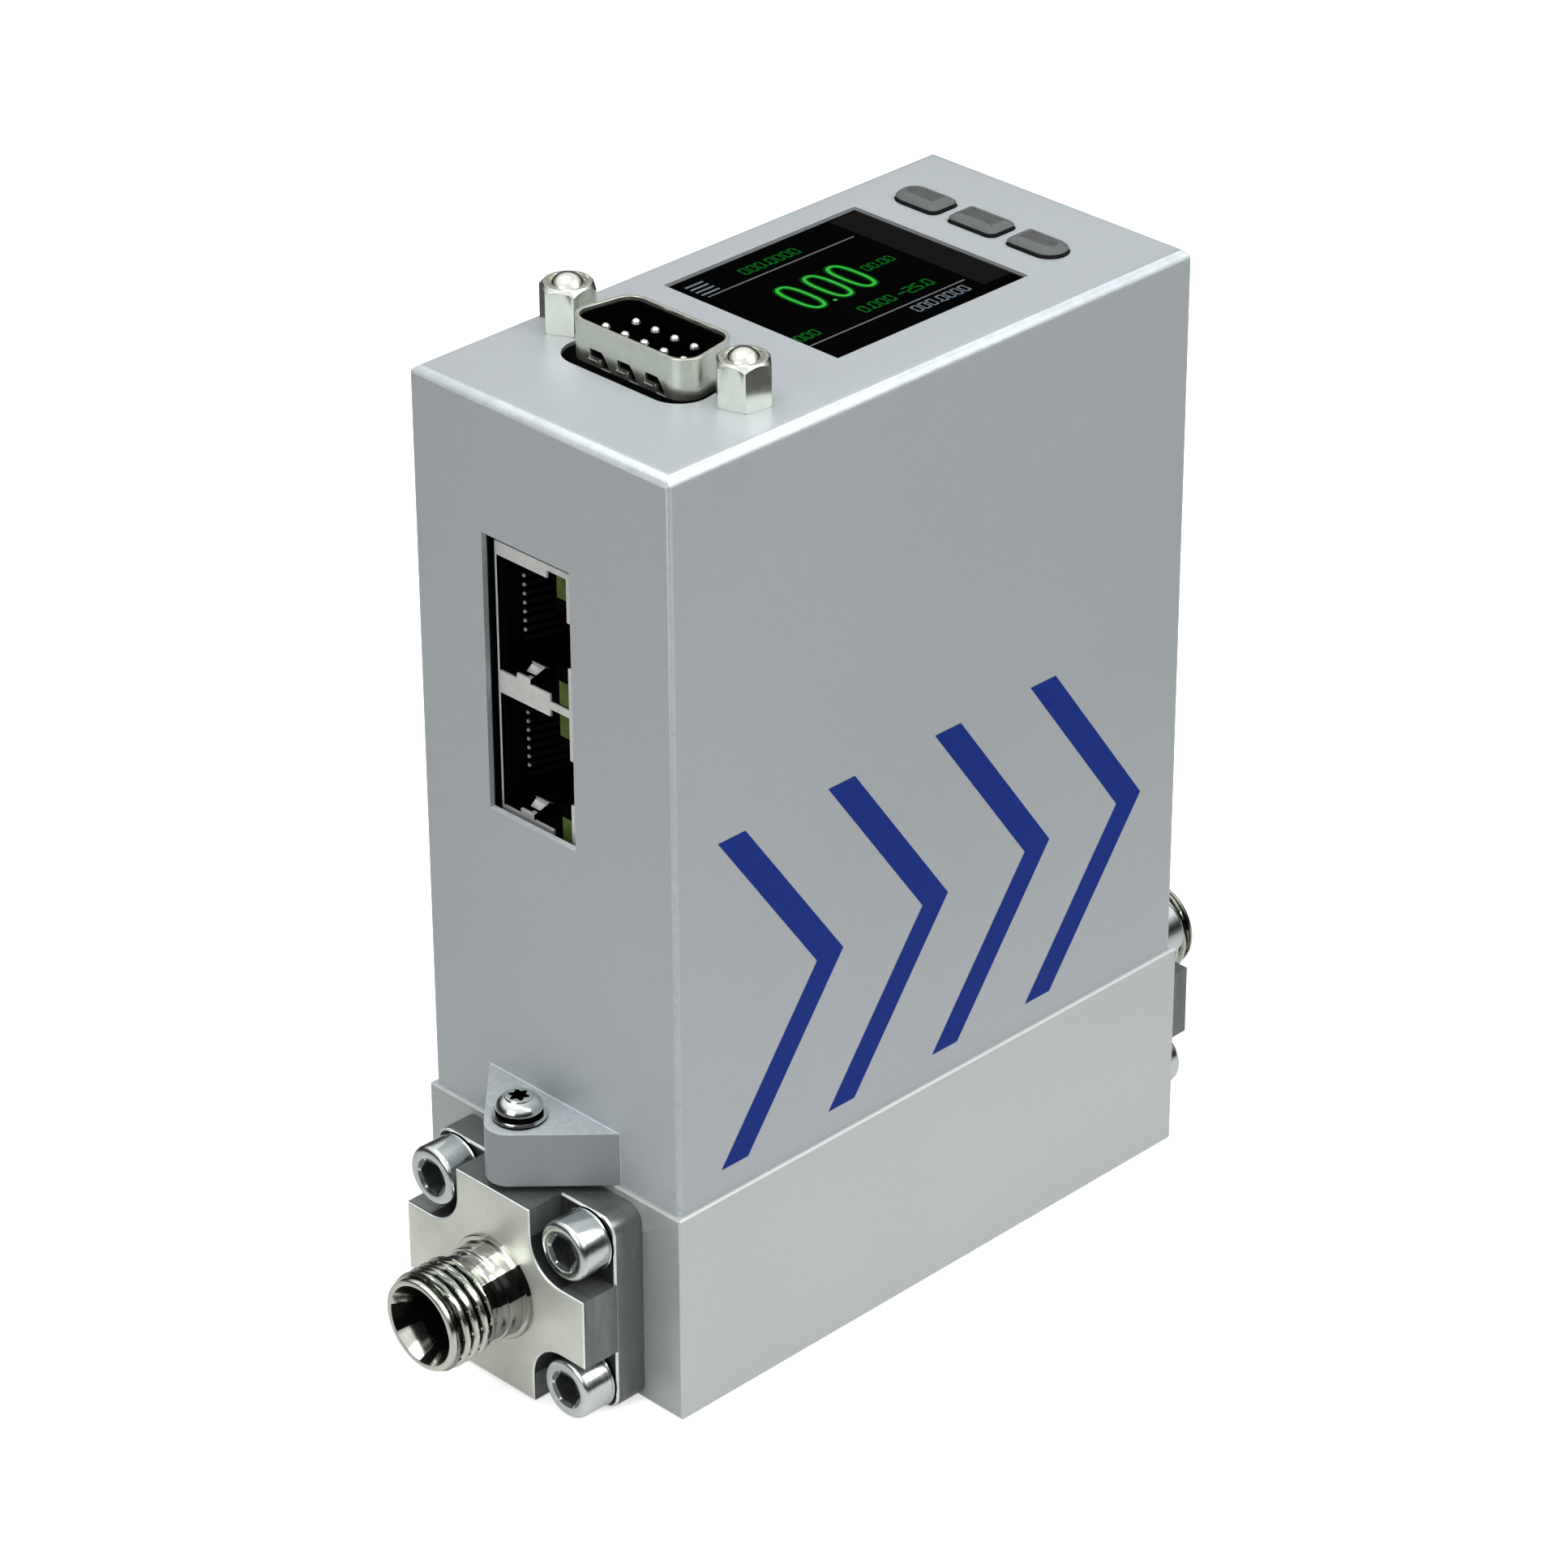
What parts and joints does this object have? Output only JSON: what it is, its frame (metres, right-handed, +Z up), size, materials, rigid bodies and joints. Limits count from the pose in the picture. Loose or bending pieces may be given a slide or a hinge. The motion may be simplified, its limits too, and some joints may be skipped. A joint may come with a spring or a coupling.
{
  "type": "mass flow controller",
  "caption": "Gas flow controller: steel flow block with threaded flanged ports, tall metal cover with display, keys, serial plug and network sockets.",
  "frame": {"origin": "centre of the underside of the base block", "axes": "+X along the flow, from inlet to outlet; +Z up, out of the display; +Y to the side away from the chevrons"},
  "size_m": [0.1144, 0.0382, 0.1146],
  "materials": {
    "base_steel": "fine satin machined stainless steel",
    "cover_metal": "satin grey finish on sheet aluminium",
    "turned_steel": "machined and turned stainless steel",
    "seal_metal": "plain metal sealing ring",
    "screw_steel": "bright rolled stainless steel",
    "plated_steel": "bright plated steel",
    "black_plastic": "matt black moulded plastic",
    "contact_metal": "gold-plated contact",
    "black_rubber": "black elastomer",
    "light_pipe": "clear yellow-green plastic",
    "window_glass": "dark clear window with a lit display under it",
    "module_metal": "plain metal case",
    "circuit_board": "green laminate",
    "key_plastic": "dark grey soft-touch plastic",
    "pale_plastic": "natural moulded plastic",
    "sintered_metal": "sintered or etched stainless steel",
    "sensor_metal": "milled stainless steel",
    "copper_wire": "enamelled copper wire"
  },
  "bodies": {
    "housing": {"base_block": "base_steel", "cover": "cover_metal", "inlet_fitting": "turned_steel", "outlet_fitting": "turned_steel", "inlet_seal": "seal_metal", "outlet_seal": "seal_metal", "inlet_screws": "screw_steel", "outlet_screws": "screw_steel", "inlet_washers": "screw_steel", "outlet_washers": "screw_steel", "cover_screws": "screw_steel", "cover_washers": "screw_steel", "serial_shell": "plated_steel", "serial_insulator": "black_plastic", "serial_pins": "contact_metal", "serial_gasket": "black_rubber", "serial_nuts": "screw_steel", "jackscrews": "plated_steel", "network_shield": "plated_steel", "network_housing": "black_plastic", "network_contacts": "contact_metal", "network_light_pipes": "light_pipe", "display_window": "window_glass", "display_module": "module_metal", "front_board": "circuit_board", "front_board_screws": "screw_steel", "key_switches": "black_plastic", "main_board": "circuit_board", "board_header": "pale_plastic", "board_chips": "black_plastic", "board_capacitors": "module_metal", "board_brackets": "plated_steel", "bracket_screws": "screw_steel", "inlet_screen": "sintered_metal", "flow_element": "sintered_metal", "sensor_seal": "black_rubber", "sensor_block": "sensor_metal", "sensor_board": "circuit_board", "sensor_chip": "black_plastic", "sensor_screws": "screw_steel", "valve_seat": "turned_steel", "valve_seal": "black_rubber", "valve_guide": "turned_steel", "valve_spring": "plated_steel", "coil_bobbin": "pale_plastic", "coil_winding": "copper_wire", "valve_yoke": "plated_steel", "valve_nut": "screw_steel", "valve_screws": "screw_steel"},
    "upper_button": {"upper_key": "key_plastic"},
    "middle_button": {"middle_key": "key_plastic"},
    "lower_button": {"lower_key": "key_plastic"},
    "plunger": {"valve_plunger": "plated_steel", "valve_disc": "black_rubber"}
  },
  "joints": [
    {"name": "upper_press", "type": "slide", "parent": "housing", "child": "upper_button", "axis": [0, 0, -1], "range_m": [0, 0.0006], "stiffness_N_per_m": 400},
    {"name": "middle_press", "type": "slide", "parent": "housing", "child": "middle_button", "axis": [0, 0, -1], "range_m": [0, 0.0006], "stiffness_N_per_m": 400},
    {"name": "lower_press", "type": "slide", "parent": "housing", "child": "lower_button", "axis": [0, 0, -1], "range_m": [0, 0.0006], "stiffness_N_per_m": 400},
    {"name": "valve_lift", "type": "slide", "parent": "housing", "child": "plunger", "axis": [0, 0, 1], "range_m": [0, 0.0004], "stiffness_N_per_m": 300, "deforming": ["valve_spring"]}
  ]
}
